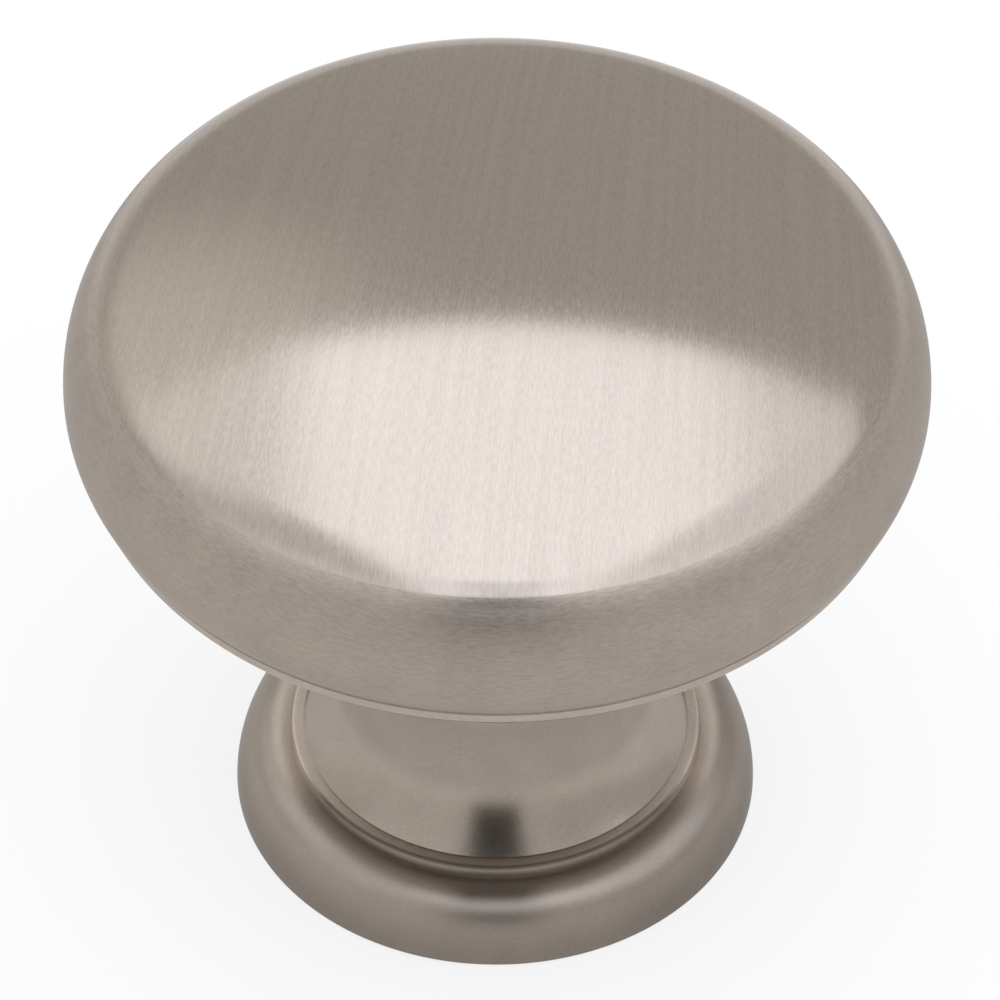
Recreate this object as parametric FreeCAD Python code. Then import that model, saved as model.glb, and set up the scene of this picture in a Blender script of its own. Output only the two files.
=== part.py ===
import FreeCAD, Part
import math
import os

# A turned-looking cabinet knob in one casting: domed head, waisted neck, ringed foot.
# Millimetres, +Z out of the cabinet front, origin at the centre of the back face.

# Overall sizes
PROJECTION = 28.0
HEAD_DIAMETER = 32.0
BASE_DIAMETER = 20.0

# Head, from the crown down to its widest circle
CROWN_RADIUS = 43.5
SHOULDER_RADIUS = 3.5
RIM_DROP = 6.4
RIM_UPPER_RADIUS = 5.7

# Head, from the widest circle down to the bead under it
RIM_LOWER_RADIUS = 3.0
BEAD_RADIUS = 0.55
BEAD_INSET = 1.2
BEAD_DROP = 2.1

# Underside and neck
UNDERSIDE_SLOPE = math.radians(20.0)
SWEEP_RADIUS = 10.5
NECK_INSET = 4.45

# Ledge where the neck stands on the foot
LEDGE_INSET = 2.18
LEDGE_REACH = 0.45
LEDGE_FALL = 0.09
LEDGE_LIFT = 0.32
LEDGE_SPREAD = 0.09

# Foot
FOOT_HEIGHT = 2.85
FOOT_CREST_RADIUS = 1.6
FOOT_SIDE_RADIUS = 4.2
BACK_EDGE_CHAMFER = 0.12

# Cored ring in the back, between the seat and the screw boss
SEAT_WIDTH = 2.4
RING_WIDTH = 2.9
RING_DEPTH = 1.6
RING_DRAFT = math.radians(3.0)
BOSS_SETBACK = 0.2

# Blind hole tapped for an M4 screw
TAPPED_RADIUS = 1.65
TAPPED_LENGTH = 13.0
MOUTH_CHAMFER = 0.5
DRILL_POINT_ANGLE = math.radians(118.0)

FULL_TURN = 360.0
QUARTER = math.pi / 2


def at(point):
    """A point of the half section, radius first, as a vector in the XZ plane."""
    return FreeCAD.Vector(point[0], 0, point[1])


def line(start, end):
    return Part.LineSegment(at(start), at(end)).toShape()


def polar(centre, radius, angle):
    return (centre[0] + radius * math.cos(angle), centre[1] + radius * math.sin(angle))


def bearing(start, end):
    return math.atan2(end[1] - start[1], end[0] - start[0])


def arc(centre, radius, start_angle, end_angle):
    start = polar(centre, radius, start_angle)
    middle = polar(centre, radius, (start_angle + end_angle) / 2)
    end = polar(centre, radius, end_angle)
    return Part.Arc(at(start), at(middle), at(end)).toShape()


def crossing(centre_a, radius_a, centre_b, radius_b):
    """The outer point where two circles of the half section cross."""
    gap = math.dist(centre_a, centre_b)
    along = (radius_a**2 - radius_b**2 + gap**2) / (2 * gap)
    off = math.sqrt(radius_a**2 - along**2)
    foot = polar(centre_a, along, bearing(centre_a, centre_b))
    left = polar(foot, off, bearing(centre_a, centre_b) + QUARTER)
    right = polar(foot, off, bearing(centre_a, centre_b) - QUARTER)
    return max(left, right)


def foot_section():
    """Half section of the foot from the seat edge up to the ledge: edges and the ledge's corner."""
    base_radius = BASE_DIAMETER / 2
    side_centre = (base_radius - FOOT_SIDE_RADIUS, BACK_EDGE_CHAMFER)
    # The crest arc touches the side arc from inside, at the height that gives the foot its own.
    reach = FOOT_SIDE_RADIUS - FOOT_CREST_RADIUS
    crest_angle = math.asin((FOOT_HEIGHT - FOOT_CREST_RADIUS - BACK_EDGE_CHAMFER) / reach)
    crest_centre = polar(side_centre, reach, crest_angle)
    # The crest falls inward to a groove along the leaning wall under the ledge.
    wall_radius = base_radius - LEDGE_INSET
    groove_across = wall_radius + LEDGE_SPREAD - crest_centre[0]
    groove_angle = math.acos(groove_across / FOOT_CREST_RADIUS)
    groove = polar(crest_centre, FOOT_CREST_RADIUS, groove_angle)
    ledge_low = (wall_radius, FOOT_HEIGHT + LEDGE_LIFT)
    edges = [
        line((base_radius - BACK_EDGE_CHAMFER, 0), (base_radius, BACK_EDGE_CHAMFER)),
        arc(side_centre, FOOT_SIDE_RADIUS, 0, crest_angle),
        arc(crest_centre, FOOT_CREST_RADIUS, crest_angle, groove_angle),
        line(groove, ledge_low),
    ]
    return edges, ledge_low


def neck_section(ledge_low, bead_centre):
    """Ledge, waisted neck and the sweep that runs out under the head to the bead."""
    waist_radius = BASE_DIAMETER / 2 - NECK_INSET
    foot_top = (ledge_low[0] - LEDGE_REACH, ledge_low[1] + LEDGE_FALL)
    # The sloping underside touches the bead from below.
    underside_angle = UNDERSIDE_SLOPE - QUARTER
    bead_low = polar(bead_centre, BEAD_RADIUS, underside_angle)
    sweep_angle = underside_angle + math.pi
    sweep_end_radius = waist_radius + SWEEP_RADIUS + SWEEP_RADIUS * math.cos(sweep_angle)
    sweep_end_height = bead_low[1] - (bead_low[0] - sweep_end_radius) * math.tan(UNDERSIDE_SLOPE)
    waist_height = sweep_end_height - SWEEP_RADIUS * math.sin(sweep_angle)
    sweep_centre = (waist_radius + SWEEP_RADIUS, waist_height)
    # The lower neck flares from the waist out to the ledge.
    rise = waist_height - foot_top[1]
    flare = foot_top[0] - waist_radius
    flare_radius = (rise**2 + flare**2) / (2 * flare)
    flare_centre = (waist_radius + flare_radius, waist_height)
    flare_angle = bearing(flare_centre, foot_top) % (2 * math.pi)
    return [
        line(ledge_low, foot_top),
        arc(flare_centre, flare_radius, flare_angle, math.pi),
        arc(sweep_centre, SWEEP_RADIUS, math.pi, sweep_angle),
        line((sweep_end_radius, sweep_end_height), bead_low),
    ]


def head_section():
    """Half section of the head from the bead up to the crown: edges and the bead's centre."""
    head_radius = HEAD_DIAMETER / 2
    rim_height = PROJECTION - RIM_DROP
    lower_centre = (head_radius - RIM_LOWER_RADIUS, rim_height)
    upper_centre = (head_radius - RIM_UPPER_RADIUS, rim_height)
    bead_centre = (head_radius - BEAD_INSET, rim_height - BEAD_DROP)
    # The bead and the rim cross in a fine crease.
    crease = crossing(lower_centre, RIM_LOWER_RADIUS, bead_centre, BEAD_RADIUS)
    # The shoulder touches both the rim and the crown from inside.
    crown_centre = (0, PROJECTION - CROWN_RADIUS)
    shoulder_centre = crossing(
        upper_centre, RIM_UPPER_RADIUS - SHOULDER_RADIUS,
        crown_centre, CROWN_RADIUS - SHOULDER_RADIUS)
    shoulder_start = bearing(upper_centre, shoulder_centre)
    shoulder_end = bearing(crown_centre, shoulder_centre)
    edges = [
        arc(bead_centre, BEAD_RADIUS, UNDERSIDE_SLOPE - QUARTER, bearing(bead_centre, crease)),
        arc(lower_centre, RIM_LOWER_RADIUS, bearing(lower_centre, crease), 0),
        arc(upper_centre, RIM_UPPER_RADIUS, 0, shoulder_start),
        arc(shoulder_centre, SHOULDER_RADIUS, shoulder_start, shoulder_end),
        arc(crown_centre, CROWN_RADIUS, shoulder_end, QUARTER),
    ]
    return edges, bead_centre


def back_section():
    """Tapped hole, screw boss, cored ring and seat, from the drill point out to the seat edge."""
    base_radius = BASE_DIAMETER / 2
    ring_outer = base_radius - SEAT_WIDTH
    ring_inner = ring_outer - RING_WIDTH
    lean = (RING_DEPTH - BOSS_SETBACK) * math.tan(RING_DRAFT)
    hole_end = BOSS_SETBACK + MOUTH_CHAMFER + TAPPED_LENGTH
    drill_tip = hole_end + TAPPED_RADIUS / math.tan(DRILL_POINT_ANGLE / 2)
    points = [
        (0, drill_tip),
        (TAPPED_RADIUS, hole_end),
        (TAPPED_RADIUS, BOSS_SETBACK + MOUTH_CHAMFER),
        (TAPPED_RADIUS + MOUTH_CHAMFER, BOSS_SETBACK),
        (ring_inner, BOSS_SETBACK),
        (ring_inner + lean, RING_DEPTH),
        (ring_outer - lean, RING_DEPTH),
        (ring_outer, 0),
        (base_radius - BACK_EDGE_CHAMFER, 0),
    ]
    edges = [line(start, end) for start, end in zip(points, points[1:])]
    return edges, drill_tip


def knob_body():
    back_edges, drill_tip = back_section()
    foot_edges, ledge_low = foot_section()
    head_edges, bead_centre = head_section()
    neck_edges = neck_section(ledge_low, bead_centre)
    axis = line((0, PROJECTION), (0, drill_tip))
    outline = Part.Wire(back_edges + foot_edges + neck_edges + head_edges + [axis])
    section = Part.Face(outline)
    return section.revolve(FreeCAD.Vector(0, 0, 0), FreeCAD.Vector(0, 0, 1), FULL_TURN)


os.makedirs("parts", exist_ok=True)
body = knob_body()
body.exportStep("parts/knob_body.step")
print("knob_body", len(body.Solids), "solid", round(body.Volume), "mm3", "valid", body.isValid())
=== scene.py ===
import bpy
import math
from mathutils import Matrix, Vector


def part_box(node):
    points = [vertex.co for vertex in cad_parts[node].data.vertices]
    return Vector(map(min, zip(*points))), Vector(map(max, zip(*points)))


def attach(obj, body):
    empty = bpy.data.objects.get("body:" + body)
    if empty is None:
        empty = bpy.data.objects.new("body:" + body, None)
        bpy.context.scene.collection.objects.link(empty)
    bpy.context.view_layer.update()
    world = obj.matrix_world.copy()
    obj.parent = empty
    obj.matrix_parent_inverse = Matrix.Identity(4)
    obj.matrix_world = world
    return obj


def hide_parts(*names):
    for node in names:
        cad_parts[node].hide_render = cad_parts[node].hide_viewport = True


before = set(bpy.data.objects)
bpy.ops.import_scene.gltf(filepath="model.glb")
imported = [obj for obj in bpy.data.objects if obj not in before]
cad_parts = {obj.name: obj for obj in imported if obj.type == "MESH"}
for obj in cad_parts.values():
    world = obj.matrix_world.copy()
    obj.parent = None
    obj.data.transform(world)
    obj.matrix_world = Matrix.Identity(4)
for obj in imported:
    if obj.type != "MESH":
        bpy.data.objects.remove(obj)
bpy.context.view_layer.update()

mm = 0.001
micron = mm / 1000
quarter = math.pi / 2
fullTurn = 2 * math.pi
smoothAngle = math.radians(30)

scene = bpy.context.scene
scene.view_settings.view_transform = "Standard"


# The camera of the photograph: above the front, with the axis leaning a little to the right.
camera = {
    "target": (0.128 * mm, 0, 15.067 * mm),
    "distance": 300 * mm,
    "elevation": math.radians(45.366),
    "roll": math.radians(0.324),
    "lens": 288.28,
    "clipStart": 10 * mm,
    "clipEnd": 10,
}


def placeCamera(c):
    back = Vector((0, -math.cos(c["elevation"]), math.sin(c["elevation"]))) * c["distance"]
    bpy.ops.object.camera_add(location=Vector(c["target"]) + back)
    eye = bpy.context.object
    tilt = Matrix.Rotation(quarter - c["elevation"], 3, "X")
    eye.rotation_euler = (tilt @ Matrix.Rotation(c["roll"], 3, "Z")).to_euler()
    eye.name = "photoCamera"
    eye.data.lens = c["lens"]
    eye.data.clip_start = c["clipStart"]
    eye.data.clip_end = c["clipEnd"]
    scene.camera = eye


placeCamera(camera)
print("camera placed")


# Small tools for points of the half section, radius first and height second.
def polar(centre, radius, angle):
    return (centre[0] + radius * math.cos(angle), centre[1] + radius * math.sin(angle))


def bearing(start, end):
    return math.atan2(end[1] - start[1], end[0] - start[0])


def crossing(centreA, radiusA, centreB, radiusB):
    gap = math.dist(centreA, centreB)
    along = (radiusA**2 - radiusB**2 + gap**2) / (2 * gap)
    off = math.sqrt(radiusA**2 - along**2)
    foot = polar(centreA, along, bearing(centreA, centreB))
    sides = [polar(foot, off, bearing(centreA, centreB) + turn) for turn in (-quarter, quarter)]
    return max(sides)


# Small tools for work in edit mode.
def clearSelection():
    bpy.ops.object.select_all(action="DESELECT")


def edit(piece):
    bpy.context.view_layer.objects.active = piece
    bpy.ops.object.mode_set(mode="EDIT")
    bpy.ops.mesh.select_mode(type="VERT")


def finishEdit():
    bpy.ops.object.mode_set(mode="OBJECT")


def pickAll():
    bpy.ops.mesh.select_all(action="SELECT")


def pickVertices(piece, test):
    bpy.ops.mesh.select_all(action="DESELECT")
    finishEdit()
    for vertex in piece.data.vertices:
        vertex.select = test(vertex.co)
    edit(piece)


def startLine(name, point):
    # a plane drawn together to one point, from which the section is drawn
    clearSelection()
    bpy.ops.mesh.primitive_plane_add(size=mm)
    piece = bpy.context.object
    piece.name = name
    edit(piece)
    bpy.ops.mesh.merge(type="CENTER")
    bpy.ops.transform.translate(value=(point[0], 0, point[1]))
    return piece


def runLine(start, end):
    step = (end[0] - start[0], 0, end[1] - start[1])
    bpy.ops.mesh.extrude_region_move(TRANSFORM_OT_translate={"value": step})
    return end


def runArc(centre, start, end, steps):
    # turns the last point about the centre, from its bearing to that of the end
    turn = math.remainder(bearing(centre, start) - bearing(centre, end), fullTurn)
    bpy.ops.mesh.spin(
        steps=steps, angle=turn, center=(centre[0], 0, centre[1]), axis=(0, -1, 0))
    return end


def smoothPiece():
    pickAll()
    bpy.ops.mesh.normals_make_consistent(inside=False)
    finishEdit()
    bpy.ops.object.shade_smooth_by_angle(angle=smoothAngle)


# The knob in one casting. Lengths are in metres, taken from the frame or given in millimetres.
lowest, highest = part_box("knob_body")
knob = {
    "projection": highest.z - lowest.z,
    "headRadius": (highest.x - lowest.x) / 2,
    "footRadius": 10.0 * mm,
    "crownRadius": 43.5 * mm,
    "shoulderRadius": 3.5 * mm,
    "rimDrop": 6.4 * mm,
    "rimUpperRadius": 5.7 * mm,
    "rimLowerRadius": 3.0 * mm,
    "beadRadius": 0.55 * mm,
    "beadInset": 1.2 * mm,
    "beadDrop": 2.1 * mm,
    "undersideSlope": math.radians(20),
    "sweepRadius": 10.5 * mm,
    "neckInset": 4.45 * mm,
    "ledgeInset": 2.18 * mm,
    "ledgeReach": 0.45 * mm,
    "ledgeFall": 0.09 * mm,
    "ledgeLift": 0.32 * mm,
    "ledgeSpread": 0.09 * mm,
    "ledgeRound": 0.035 * mm,
    "footHeight": 2.85 * mm,
    "footCrestRadius": 1.6 * mm,
    "footSideRadius": 4.2 * mm,
    "backEdge": 0.12 * mm,
    "seatWidth": 2.4 * mm,
    "ringWidth": 2.9 * mm,
    "ringDepth": 1.6 * mm,
    "ringDraft": math.radians(3),
    "bossSetback": 0.2 * mm,
    "boreRadius": 1.65 * mm,
    "tappedLength": 13.0 * mm,
    "mouthChamfer": 0.5 * mm,
    "drillAngle": math.radians(118),
    "threadRadius": 2.0 * mm,
    "threadPitch": 0.7 * mm,
    "threadLength": 11.0 * mm,
    "threadSink": 0.03 * mm,
    "threadRootShare": 0.43,
    "threadCrestShare": 0.13,
    # how finely each round stretch is drawn, and how finely the section is turned
    "footSideSteps": 20,
    "footCrestSteps": 24,
    "neckSteps": 24,
    "undersideSteps": 4,
    "beadSteps": 14,
    "rimLowerSteps": 16,
    "rimUpperSteps": 24,
    "shoulderSteps": 24,
    "crownSteps": 48,
    "ledgeRoundSteps": 4,
    "turnSteps": 256,
    "threadSteps": 48,
}


def drawBack(k):
    # bore, countersunk mouth, screw boss, cored ring and seat
    holeEnd = k["bossSetback"] + k["mouthChamfer"] + k["tappedLength"]
    drillTip = holeEnd + k["boreRadius"] / math.tan(k["drillAngle"] / 2)
    mouth = k["boreRadius"] + k["mouthChamfer"]
    mouthEnd = k["bossSetback"] + mouth - k["threadRadius"]
    threadEnd = mouthEnd + k["threadLength"]
    ringOuter = k["footRadius"] - k["seatWidth"]
    ringInner = ringOuter - k["ringWidth"]
    lean = (k["ringDepth"] - k["bossSetback"]) * math.tan(k["ringDraft"])
    points = [
        (k["boreRadius"], holeEnd),
        (k["boreRadius"], threadEnd + k["threadRadius"] - k["boreRadius"]),
        (k["threadRadius"], threadEnd),
        (k["threadRadius"], mouthEnd),
        (mouth, k["bossSetback"]),
        (ringInner, k["bossSetback"]),
        (ringInner + lean, k["ringDepth"]),
        (ringOuter - lean, k["ringDepth"]),
        (ringOuter, 0),
        (k["footRadius"] - k["backEdge"], 0),
    ]
    last = (0, drillTip)
    piece = startLine("knob", last)
    for point in points:
        last = runLine(last, point)
    return piece, last


def drawFoot(k, last):
    sideCentre = (k["footRadius"] - k["footSideRadius"], k["backEdge"])
    reach = k["footSideRadius"] - k["footCrestRadius"]
    rise = k["footHeight"] - k["footCrestRadius"] - k["backEdge"]
    crestCentre = polar(sideCentre, reach, math.asin(rise / reach))
    wall = k["footRadius"] - k["ledgeInset"]
    grooveAcross = wall + k["ledgeSpread"] - crestCentre[0]
    groove = polar(crestCentre, k["footCrestRadius"],
                   math.acos(grooveAcross / k["footCrestRadius"]))
    crestStart = polar(sideCentre, k["footSideRadius"], bearing(sideCentre, crestCentre))
    last = runLine(last, (k["footRadius"], k["backEdge"]))
    last = runArc(sideCentre, last, crestStart, k["footSideSteps"])
    last = runArc(crestCentre, last, groove, k["footCrestSteps"])
    return runLine(last, (wall, k["footHeight"] + k["ledgeLift"]))


def drawNeck(k, last, beadCentre):
    waist = k["footRadius"] - k["neckInset"]
    footTop = (last[0] - k["ledgeReach"], last[1] + k["ledgeFall"])
    beadLow = Vector(polar(beadCentre, k["beadRadius"], k["undersideSlope"] - quarter))
    sweepAngle = k["undersideSlope"] + quarter
    sweepAcross = waist + k["sweepRadius"] * (1 + math.cos(sweepAngle))
    sweepUp = beadLow[1] - (beadLow[0] - sweepAcross) * math.tan(k["undersideSlope"])
    sweepEnd = Vector((sweepAcross, sweepUp))
    waistHeight = sweepUp - k["sweepRadius"] * math.sin(sweepAngle)
    rise = waistHeight - footTop[1]
    flare = footTop[0] - waist
    flareRadius = (rise**2 + flare**2) / (2 * flare)
    flareCentre = (waist + flareRadius, waistHeight)
    sweepCentre = (waist + k["sweepRadius"], waistHeight)
    last = runLine(last, footTop)
    last = runArc(flareCentre, last, (waist, waistHeight), k["neckSteps"])
    last = runArc(sweepCentre, last, tuple(sweepEnd), k["neckSteps"])
    for count in range(1, k["undersideSteps"] + 1):
        share = count / k["undersideSteps"]
        last = runLine(last, tuple(sweepEnd.lerp(beadLow, share)))
    return last


def drawHead(k, last, beadCentre):
    rimHeight = k["projection"] - k["rimDrop"]
    lowerCentre = (k["headRadius"] - k["rimLowerRadius"], rimHeight)
    upperCentre = (k["headRadius"] - k["rimUpperRadius"], rimHeight)
    crease = crossing(lowerCentre, k["rimLowerRadius"], beadCentre, k["beadRadius"])
    crownCentre = (0, k["projection"] - k["crownRadius"])
    shoulderCentre = crossing(
        upperCentre, k["rimUpperRadius"] - k["shoulderRadius"],
        crownCentre, k["crownRadius"] - k["shoulderRadius"])
    rimEnd = polar(upperCentre, k["rimUpperRadius"], bearing(upperCentre, shoulderCentre))
    crownStart = polar(shoulderCentre, k["shoulderRadius"], bearing(crownCentre, shoulderCentre))
    last = runArc(beadCentre, last, crease, k["beadSteps"])
    last = runArc(lowerCentre, last, (k["headRadius"], rimHeight), k["rimLowerSteps"])
    last = runArc(upperCentre, last, rimEnd, k["rimUpperSteps"])
    last = runArc(shoulderCentre, last, crownStart, k["shoulderSteps"])
    last = runArc(crownCentre, last, (0, k["projection"]), k["crownSteps"])
    return crease


def makeKnob(k):
    beadCentre = (k["headRadius"] - k["beadInset"],
                  k["projection"] - k["rimDrop"] - k["beadDrop"])
    piece, last = drawBack(k)
    ledgeLow = drawFoot(k, last)
    beadLow = drawNeck(k, ledgeLow, beadCentre)
    crease = drawHead(k, beadLow, beadCentre)
    # the ledge's outer corner is eased, as a turning tool leaves it
    corner = Vector((ledgeLow[0], 0, ledgeLow[1]))
    pickVertices(piece, lambda co: (co - corner).length < micron)
    bpy.ops.mesh.bevel(
        offset=k["ledgeRound"], segments=k["ledgeRoundSteps"], affect="VERTICES")
    # the section is turned once round the axis and its seam and poles are closed
    pickAll()
    bpy.ops.mesh.spin(
        steps=k["turnSteps"], angle=fullTurn, center=(0, 0, 0), axis=(0, 0, 1))
    pickAll()
    bpy.ops.mesh.remove_doubles(threshold=micron)
    smoothPiece()
    return piece, crease[1]


knobPiece, creaseHeight = makeKnob(knob)
print("knob turned", len(knobPiece.data.vertices), "vertices")


def makeThread(k):
    # one turn's section, swept up the hole by the Screw modifier and capped at both ends
    middle = k["bossSetback"] + k["mouthChamfer"]
    root = k["threadRadius"] + k["threadSink"]
    foot = k["threadPitch"] * k["threadRootShare"]
    crest = k["threadPitch"] * k["threadCrestShare"]
    points = [
        (root, middle - foot), (k["boreRadius"], middle - crest),
        (k["boreRadius"], middle + crest), (root, middle + foot),
    ]
    last = points[0]
    piece = startLine("thread", last)
    for point in points[1:]:
        last = runLine(last, point)
    pickAll()
    bpy.ops.mesh.edge_face_add()
    bpy.ops.mesh.delete(type="ONLY_FACE")
    finishEdit()
    screw = piece.modifiers.new("turns", "SCREW")
    screw.screw_offset = k["threadPitch"]
    screw.iterations = int(k["threadLength"] / k["threadPitch"]) - 1
    screw.steps = screw.render_steps = k["threadSteps"]
    bpy.ops.object.modifier_apply(modifier=screw.name)
    edit(piece)
    pickAll()
    bpy.ops.mesh.remove_doubles(threshold=micron)
    pickAll()
    bpy.ops.mesh.fill_holes(sides=len(points))
    smoothPiece()
    return piece


threadPiece = makeThread(knob)
clearSelection()
threadPiece.select_set(True)
knobPiece.select_set(True)
bpy.context.view_layer.objects.active = knobPiece
bpy.ops.object.join()
print("thread cut")


# Satin nickel, the same metal all over. A shade of 1 is the plain colour.
nickel = {
    "color": (0.420, 0.360, 0.305, 1),
    "edgeTint": (0.8, 0.8, 0.8, 1),
    "grainEnds": (0.25, 0.75),
    "softEnds": (0.2, 0.8),
    "softShade": 0.04,
    "grainRoughness": 0.02,
    "bumpDepth": 0.02 * mm,
    "noiseDetail": 3,
}

# The face is brushed in lines that fan out from a far point, as by hand.
faceFinish = {
    "end": 25.08 * mm,
    "fanCentre": (12 * mm, 114 * mm, 0),
    "roughness": 0.17,
    "brushed": 0.7,
    "grain": 0.08,
    "bump": 0.10,
    "streak": 0.17,
    "streakScale": 15000,
    "streakRoughness": 0.6,
    "softStreak": 0.03,
    "softScale": 3500,
    "softDetail": 2,
}

# The rim is brushed on the lathe and duller than the face. Its colour darkens down its side,
# painted shade that dims its reflection of the floor.
rimFinishAndPaintedShade = {
    "topRoughness": 0.24,
    "roughness": 0.43,
    "roughnessDepth": 0.5 * mm,
    "topShade": 0.96,
    "shade": 0.84,
    "shadeDepth": 0.8 * mm,
    "brushed": 0.4,
    "grain": 0.11,
    "bump": 0.08,
    "streak": 0.22,
    "streakScale": 13000,
    "streakRoughness": 0.6,
    "softScale": 500,
}

# Underside, neck, ledge and foot are rubbed with short leaning marks. The shades are painted shade
# and painted light:
# darker under the head, down the neck, in the crease, in the groove and on the foot, lighter on the
# ledge's flat and the groove's sides. Pairs are places where one shade begins to pass into the next
# and where it has passed.
baseFinishAndPaintedShade = {
    "neckRoughness": 0.22,
    "footRoughness": 0.38,
    "underShade": 0.95,
    "neckTopShade": 0.74,
    "neckTop": (10 * mm, 8 * mm),
    "neckShade": 0.86,
    "neckLow": (5.9 * mm, 5.0 * mm),
    "creaseShade": 0.5,
    "creaseFrom": 0.10 * mm,
    "creaseTo": 0.03 * mm,
    "ledgeShade": 1.05,
    "ledgeTop": 0.02 * mm,
    "ledgeLow": 0.03 * mm,
    "cornerShade": 0.26,
    "cornerDepth": 0.15 * mm,
    "grooveShade": 0.76,
    "grooveSideShade": 1.35,
    "front": (-2.2 * mm, -4.8 * mm),
    "grooveOut": (8.8 * mm, 8.3 * mm),
    "footShade": 0.54,
    "footLow": 0.4 * mm,
    "crestShade": 0.82,
    "crestMiddleShade": 0.36,
    "middle": (2.4 * mm, 0.8 * mm),
    "middleRise": (2.3 * mm, 2.75 * mm),
    "footRightShade": 0.88,
    "right": (3 * mm, 7 * mm),
    "grain": 0.09,
    "bump": 0.08,
    "markRadius": 8 * mm,
    "markLean": math.radians(36.87),
    "streak": 0.25,
    "streakScale": 18000,
    "streakRoughness": 0.65,
    "softScale": 700,
}


class Graph:
    # a short way to add nodes and join them
    def __init__(self, tree):
        self.tree = tree

    def add(self, kind, inputs=(), **settings):
        node = self.tree.nodes.new(kind)
        for key, value in settings.items():
            setattr(node, key, value)
        for key, value in dict(inputs).items():
            self.feed(node.inputs[key], value)
        return node

    def feed(self, socket, value):
        if isinstance(value, bpy.types.NodeSocket):
            self.tree.links.new(value, socket)
        else:
            socket.default_value = value

    def math(self, operation, a, b=0.0):
        return self.add("ShaderNodeMath", {0: a, 1: b}, operation=operation).outputs[0]

    def times(self, a, b):
        return self.math("MULTIPLY", a, b)

    def vector(self, operation, a, b=(0, 0, 0)):
        node = self.add("ShaderNodeVectorMath", {0: a, 1: b}, operation=operation)
        return node.outputs["Value" if operation in ("DOT_PRODUCT", "LENGTH") else "Vector"]

    def split(self, vector):
        return self.add("ShaderNodeSeparateXYZ", {0: vector}).outputs

    def join(self, x=0.0, y=0.0, z=0.0):
        return self.add("ShaderNodeCombineXYZ", {0: x, 1: y, 2: z}).outputs[0]

    def step(self, value, low, high, outLow=0.0, outHigh=1.0):
        # passes softly from one level to another while the value goes from low to high
        inputs = {"Value": value, "From Min": low, "From Max": high,
                  "To Min": outLow, "To Max": outHigh}
        node = self.add("ShaderNodeMapRange", inputs, interpolation_type="SMOOTHSTEP")
        return node.outputs["Result"]

    def blend(self, share, a, b):
        node = self.add("ShaderNodeMix", {0: share, 2: a, 3: b}, data_type="FLOAT")
        return node.outputs[0]

    def noise(self, place, scale, detail, roughness=0.5):
        inputs = {"Vector": place, "Scale": scale, "Detail": detail, "Roughness": roughness}
        return self.add("ShaderNodeTexNoise", inputs, noise_dimensions="3D").outputs["Fac"]


def startNickel(name):
    material = bpy.data.materials.new(name)
    material.use_nodes = True
    g = Graph(material.node_tree)
    place = g.add("ShaderNodeTexCoord").outputs["Object"]
    return material, g, place, g.split(place)


def finishNickel(material, g, n, finish, grain, soft, level, rough, spread=None):
    # colour, roughness and bump, each with the grain in it
    low, high = n["grainEnds"]
    marks = g.step(grain, low, high, 1 - finish["grain"], 1 + finish["grain"])
    drift = g.step(soft, *n["softEnds"], -n["softShade"], n["softShade"])
    shade = g.times(g.math("ADD", marks, drift), level)
    tint = g.add("ShaderNodeMix", {0: 1.0, 6: n["color"], 7: shade},
                 data_type="RGBA", blend_type="MULTIPLY")
    bump = g.add("ShaderNodeBump", {
        "Height": grain, "Strength": finish["bump"], "Distance": n["bumpDepth"]})
    depth = n["grainRoughness"]
    metal = g.tree.nodes["Principled BSDF"]
    metal.inputs["Metallic"].default_value = 1
    metal.inputs["Specular Tint"].default_value = n["edgeTint"]
    g.feed(metal.inputs["Base Color"], tint.outputs[2])
    g.feed(metal.inputs["Roughness"], g.math("ADD", rough, g.step(grain, low, high, -depth, depth)))
    g.feed(metal.inputs["Normal"], bump.outputs[0])
    if spread:
        # brushing spreads light across its lines
        g.feed(metal.inputs["Tangent"], g.vector("NORMALIZE", spread))
        metal.inputs["Anisotropic"].default_value = finish["brushed"]
    return material


def makeFaceNickel(n, f):
    material, g, place, (x, y, z) = startNickel("faceNickel")
    fan = g.split(g.vector("SUBTRACT", place, f["fanCentre"]))
    ray = g.times(g.math("ARCTAN2", fan[0], fan[1]), f["fanCentre"][1])
    streaks = g.join(ray, g.times(y, f["streak"]))
    grain = g.noise(streaks, f["streakScale"], n["noiseDetail"], f["streakRoughness"])
    longStreaks = g.join(ray, g.times(y, f["softStreak"]))
    soft = g.noise(longStreaks, f["softScale"], f["softDetail"])
    spread = g.join(fan[1], g.times(fan[0], -1))
    return finishNickel(material, g, n, f, grain, soft, 1.0, f["roughness"], spread)


def makeRimNickel(n, f, top, k):
    material, g, place, (x, y, z) = startNickel("rimNickel")
    outward = g.join(x, y)
    around = g.math("ARCTAN2", x, g.times(y, -1))
    along = g.times(around, k["headRadius"])
    streaks = g.join(g.times(along, f["streak"]), z, g.vector("LENGTH", outward))
    grain = g.noise(streaks, f["streakScale"], n["noiseDetail"], f["streakRoughness"])
    soft = g.noise(place, f["softScale"], n["noiseDetail"])
    rough = g.step(z, top, top - f["roughnessDepth"], f["topRoughness"], f["roughness"])
    # painted shade: the colour darkens from topShade at the face's edge to shade down the rim's
    # side
    level = g.step(z, top, top - f["shadeDepth"], f["topShade"], f["shade"])
    ring = g.vector("CROSS_PRODUCT", (0, 0, 1), outward)
    normal = g.add("ShaderNodeNewGeometry").outputs["Normal"]
    spread = g.vector("CROSS_PRODUCT", ring, normal)
    return finishNickel(material, g, n, f, grain, soft, level, rough, spread)


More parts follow.
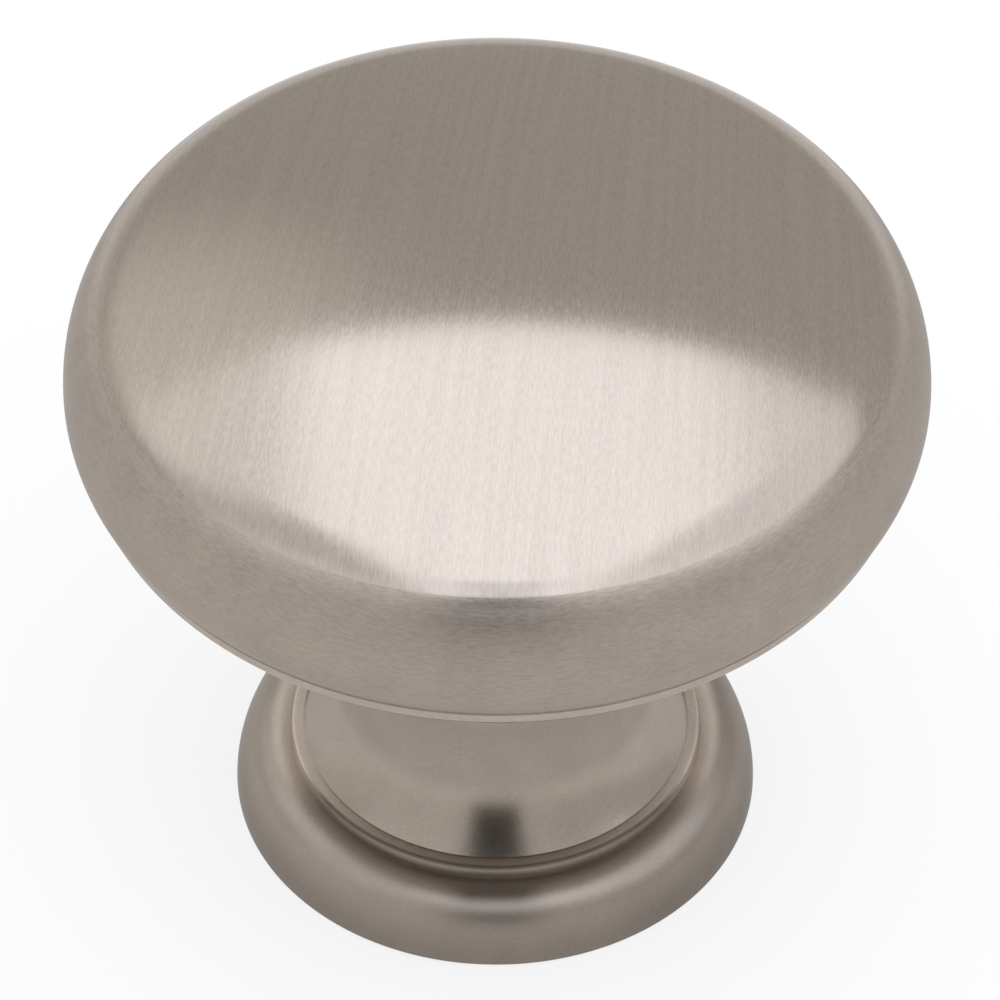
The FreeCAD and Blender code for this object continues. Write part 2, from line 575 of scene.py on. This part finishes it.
def makeBaseNickel(n, f, crease, k):
    material, g, place, (x, y, z) = startNickel("baseNickel")
    across = g.vector("LENGTH", g.join(x, y))
    around = g.math("ARCTAN2", x, g.times(y, -1))
    along = g.times(around, f["markRadius"])
    up = g.math("SUBTRACT", z, across)
    cos, sin = math.cos(f["markLean"]), math.sin(f["markLean"])
    lean = g.math("ADD", g.times(along, cos), g.times(up, -sin))
    over = g.math("ADD", g.times(along, sin), g.times(up, cos))
    marks = g.join(g.times(lean, f["streak"]), over)
    grain = g.noise(marks, f["streakScale"], n["noiseDetail"], f["streakRoughness"])
    soft = g.noise(place, f["softScale"], n["noiseDetail"])
    # painted shade under the head and down the neck, darkest high on the neck, painted shade in the
    # crease at the bead, and painted light on the flat of the ledge
    level = g.blend(g.step(z, *f["neckTop"]), f["underShade"], f["neckTopShade"])
    level = g.blend(g.step(z, *f["neckLow"]), level, f["neckShade"])
    inCrease = g.step(z, crease - f["creaseFrom"], crease - f["creaseTo"])
    level = g.blend(inCrease, level, f["creaseShade"])
    ledge = k["footHeight"] + k["ledgeLift"]
    ledgeTop = ledge + k["ledgeFall"]
    onLedge = g.step(z, ledgeTop, ledgeTop - f["ledgeTop"])
    level = g.blend(onLedge, level, f["ledgeShade"])
    # painted shade in the groove, darkest on the wall under the ledge's corner, and painted light
    # on its sides away from the front
    inFront = g.step(y, *f["front"])
    corner = g.step(z, ledge - f["cornerDepth"], ledge)
    groove = g.blend(corner, f["grooveShade"], f["cornerShade"])
    groove = g.blend(inFront, f["grooveSideShade"], groove)
    # painted shade on the foot, darker low down and on the right, and a dark painted reflection in
    # the middle of its crest in front
    foot = g.step(z, f["footLow"], k["footHeight"], f["footShade"], f["crestShade"])
    middle = g.times(g.step(g.math("ABSOLUTE", x), *f["middle"]), inFront)
    middle = g.times(middle, g.step(z, *f["middleRise"]))
    foot = g.blend(middle, foot, f["crestMiddleShade"])
    foot = g.times(foot, g.step(x, *f["right"], 1, f["footRightShade"]))
    low = g.blend(g.step(across, *f["grooveOut"]), foot, groove)
    level = g.blend(g.step(z, ledge + f["ledgeLow"], ledge), level, low)
    rough = g.blend(onLedge, f["neckRoughness"], f["footRoughness"])
    return finishNickel(material, g, n, f, grain, soft, level, rough)


def coatKnob(piece, crease):
    top = faceFinish["end"]
    piece.data.materials.clear()
    piece.data.materials.append(makeFaceNickel(nickel, faceFinish))
    piece.data.materials.append(makeRimNickel(nickel, rimFinishAndPaintedShade, top, knob))
    piece.data.materials.append(makeBaseNickel(nickel, baseFinishAndPaintedShade, crease, knob))
    for face in piece.data.polygons:
        height = face.center.z
        face.material_index = 0 if height > top else 1 if height > crease else 2


coatKnob(knobPiece, creaseHeight)
print("nickel brushed")

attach(knobPiece, "root")
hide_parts("knob_body")


# A pale floor, a long soft panel overhead with dimmer ones on each side, and a plain room.
# In the room x runs to the right, y to the back and z up, each from -1 to 1, and a pair is
# where one level begins to pass into the next and where it has passed.
studio = {
    "floorSize": 6.0,
    "floorColor": (0.86, 0.85, 0.84, 1),
    "floorRoughness": 0.6,
    "floorWhite": 0.78,
    "panelHeight": 0.5,
    "panelColor": (1.0, 1.07, 1.24),
    "panelFront": -0.50,
    "panelBack": 0.345,
    "panelLeft": -0.17,
    "panelRight": 0.21,
    "panelGlow": 1.31,
    "leftWing": 1.1,
    "leftWingGlow": 0.31,
    "rightWing": 1.25,
    "rightWingGlow": 0.72,
    "leftStrip": 0.36,
    "leftStripGlow": 0.75,
    "rightStrip": 0.75,
    "rightStripBack": -0.28,
    "rightStripGlow": 0.25,
    "roomGlow": 0.64,
    "wallLeftGlow": 0.90,
    "wallRightGlow": 0.75,
    "wallSide": (0.2, 0.8),
    "wallFront": (0.0, -0.5),
    "wallTop": (0.85, 0.65),
    "wallLow": (0.42, 0.15),
    "wallBackFall": 0.25,
    "cameraGlow": 0.05,
    "cameraAside": 0.01,
    "cameraHalf": (0.19, 0.28),
    "cameraNeck": (0.56, 0.64),
    "cameraNeckIn": 0.1,
    "cameraFoot": (-0.1, 0.14),
    "cameraFront": (-0.4, -0.5),
    "patchGlow": 0.42,
    "patchWay": (-0.60, 0.47, 0.65),
    "patchEdge": (0.84, 0.99),
}


def makeFloor(s):
    clearSelection()
    bpy.ops.mesh.primitive_plane_add(size=s["floorSize"])
    floor = bpy.context.object
    floor.name = "floor"
    material = bpy.data.materials.new("palePaper")
    material.use_nodes = True
    paper = material.node_tree.nodes["Principled BSDF"]
    paper.inputs["Base Color"].default_value = s["floorColor"]
    paper.inputs["Roughness"].default_value = s["floorRoughness"]
    paper.inputs["Specular IOR Level"].default_value = 0
    # the camera and the metal see the paper nearly white, with the knob's shadow left in it
    g = Graph(material.node_tree)
    ray = g.add("ShaderNodeLightPath").outputs
    seen = g.math("MAXIMUM", ray["Is Camera Ray"], ray["Is Glossy Ray"])
    seen = g.math("MAXIMUM", seen, ray["Is Transmission Ray"])
    white = g.add("ShaderNodeEmission").outputs[0]
    mix = g.add("ShaderNodeMixShader", {
        0: g.times(seen, s["floorWhite"]), 1: paper.outputs[0], 2: white})
    g.feed(material.node_tree.nodes["Material Output"].inputs["Surface"], mix.outputs[0])
    material.cycles.emission_sampling = "NONE"
    floor.data.materials.append(material)


def addPanel(s, name, left, right, back, glow):
    # an area light that shines down with the same brightness all over
    front = s["panelFront"]
    width, depth = right - left, back - front
    bpy.ops.object.light_add(
        type="AREA", location=((left + right) / 2, (front + back) / 2, s["panelHeight"]))
    panel = bpy.context.object
    panel.name = name
    panel.data.shape = "RECTANGLE"
    panel.data.size = width
    panel.data.size_y = depth
    panel.data.energy = glow * math.pi * width * depth
    panel.data.color = s["panelColor"]
    panel.visible_camera = False


def makePanels(s):
    left, right, back = s["panelLeft"], s["panelRight"], s["panelBack"]
    addPanel(s, "panel", left, right, back, s["panelGlow"])
    addPanel(s, "leftWing", -s["leftWing"], left, back, s["leftWingGlow"])
    addPanel(s, "rightWing", right, s["rightWing"], back, s["rightWingGlow"])
    addPanel(s, "leftStrip", -s["leftStrip"], left, back, s["leftStripGlow"])
    addPanel(s, "rightStrip", right, s["rightStrip"], s["rightStripBack"], s["rightStripGlow"])


def makeRoom(s):
    world = bpy.data.worlds.new("room")
    scene.world = world
    world.use_nodes = True
    g = Graph(world.node_tree)
    way = g.add("ShaderNodeTexCoord").outputs["Generated"]
    x, y, z = g.split(way)
    # the dark shape of the camera, in front and half way up, narrower above
    aside = g.math("ABSOLUTE", g.math("SUBTRACT", x, s["cameraAside"]))
    aside = g.math("ADD", aside, g.step(z, *s["cameraNeck"], 0, s["cameraNeckIn"]))
    dark = g.times(g.step(aside, *s["cameraHalf"], 1, 0), g.step(z, *s["cameraFoot"]))
    dark = g.times(dark, g.step(y, *s["cameraFront"]))
    # walls paler in front and low down all round, a little less so on the right
    front = g.times(g.step(y, *s["wallFront"]), g.step(z, *s["wallTop"]))
    lift = g.times(g.math("MAXIMUM", y, 0), s["wallBackFall"])
    pale = g.math("MAXIMUM", front, g.step(g.math("ADD", z, lift), *s["wallLow"]))
    wall = g.step(x, *s["wallSide"], s["wallLeftGlow"], s["wallRightGlow"])
    level = g.blend(dark, g.blend(pale, s["roomGlow"], wall), s["cameraGlow"])
    # a soft light patch behind on the left
    near = g.vector("DOT_PRODUCT", way, s["patchWay"])
    level = g.math("ADD", level, g.step(near, *s["patchEdge"], 0, s["patchGlow"]))
    background = world.node_tree.nodes["Background"]
    background.inputs["Color"].default_value = (1, 1, 1, 1)
    g.feed(background.inputs["Strength"], level)


makeFloor(studio)
makePanels(studio)
makeRoom(studio)
print("studio lit")
